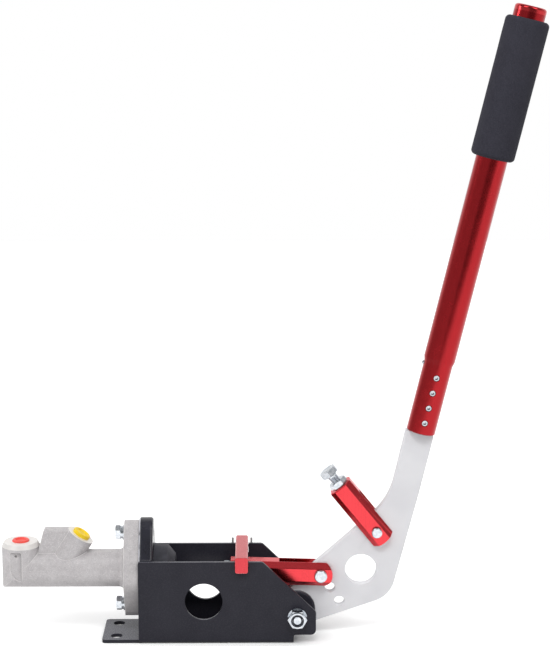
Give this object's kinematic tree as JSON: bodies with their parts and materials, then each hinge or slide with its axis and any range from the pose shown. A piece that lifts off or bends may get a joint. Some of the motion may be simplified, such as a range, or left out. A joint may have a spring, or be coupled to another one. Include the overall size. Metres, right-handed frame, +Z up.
{
  "type": "parking brake lever",
  "caption": "Upright hand lever on a folded floor bracket; pulling it pushes a small hydraulic master cylinder, and a swinging strut on the lever can hook a bar to hold it.",
  "frame": {"origin": "middle of the bracket's mounting face, on the floor", "axes": "+X from the cylinder towards the handle, +Y across the bracket, +Z up"},
  "size_m": [0.4132, 0.0665, 0.4852],
  "materials": {
    "black_coat": "semi-gloss powder coat",
    "red_anodised": "red anodised",
    "satin_aluminium": "satin",
    "cast_aluminium": "as cast",
    "zinc_steel": "zinc plated",
    "rubber": "matt",
    "foam": "closed-cell foam",
    "red_plastic": "moulded",
    "yellow_plastic": "moulded",
    "nylon": "moulded",
    "bronze": "turned"
  },
  "bodies": {
    "base": {"base_bracket": "black_coat", "front_plate": "black_coat", "master_cylinder": "cast_aluminium", "outlet_plug": "red_plastic", "inlet_plug": "yellow_plastic", "flange_bolts": "zinc_steel", "flange_washers": "zinc_steel", "dust_boot": "rubber", "stop_washer": "zinc_steel", "circlip": "zinc_steel", "return_spring": "zinc_steel", "pivot_bolt": "zinc_steel", "pivot_nut": "zinc_steel", "pivot_nut_ring": "nylon", "pivot_washers": "zinc_steel", "pivot_spacers": "black_coat", "lock_bar": "red_anodised", "lock_bar_pin": "black_coat"},
    "piston": {"piston": "satin_aluminium", "primary_cup": "rubber", "secondary_seal": "rubber"},
    "lever": {"lever_plate": "satin_aluminium", "pivot_bush": "bronze", "handle_tube": "red_anodised", "tube_screws": "zinc_steel", "step_screw": "zinc_steel", "foam_grip": "foam", "end_cap": "red_anodised"},
    "push_link": {"push_clevis": "red_anodised", "pushrod": "zinc_steel", "push_jam_nut": "zinc_steel", "crank_pin": "zinc_steel", "crank_pin_clip": "zinc_steel"},
    "lock_strut": {"strut_clevis": "red_anodised", "strut_pin": "zinc_steel", "strut_pin_clip": "zinc_steel", "strut_jam_nut": "zinc_steel"},
    "lock_bolt": {"strut_bolt": "zinc_steel"}
  },
  "joints": [
    {"name": "lever_pull", "type": "hinge", "parent": "base", "child": "lever", "pos_m": [0.0769, 0, 0.0212], "axis": [0, -1, 0], "range_deg": [0, 38], "stiffness_Nm_per_rad": 2, "springref_deg": -34.38},
    {"name": "link_swing", "type": "hinge", "parent": "lever", "child": "push_link", "pos_m": [0.09531, 0, 0.04871], "axis": [0, -1, 0], "range_deg": [-36, 0]},
    {"name": "piston_slide", "type": "slide", "parent": "base", "child": "piston", "axis": [-1, 0, 0], "range_m": [0, 0.0212], "deforming": ["return_spring"]},
    {"name": "strut_swing", "type": "hinge", "parent": "lever", "child": "lock_strut", "pos_m": [0.1384, 0, 0.0836], "axis": [0, -1, 0], "range_deg": [0, 42.5]},
    {"name": "bolt_adjust", "type": "slide", "parent": "lock_strut", "child": "lock_bolt", "axis": [-0.6293, 0, 0.7771], "range_m": [0, 0.0155]}
  ],
  "couplings": [
    {"joint": "link_swing", "follows": "lever_pull", "ratio": -0.9316},
    {"joint": "piston_slide", "follows": "lever_pull", "m_per_rad": 0.0315}
  ]
}
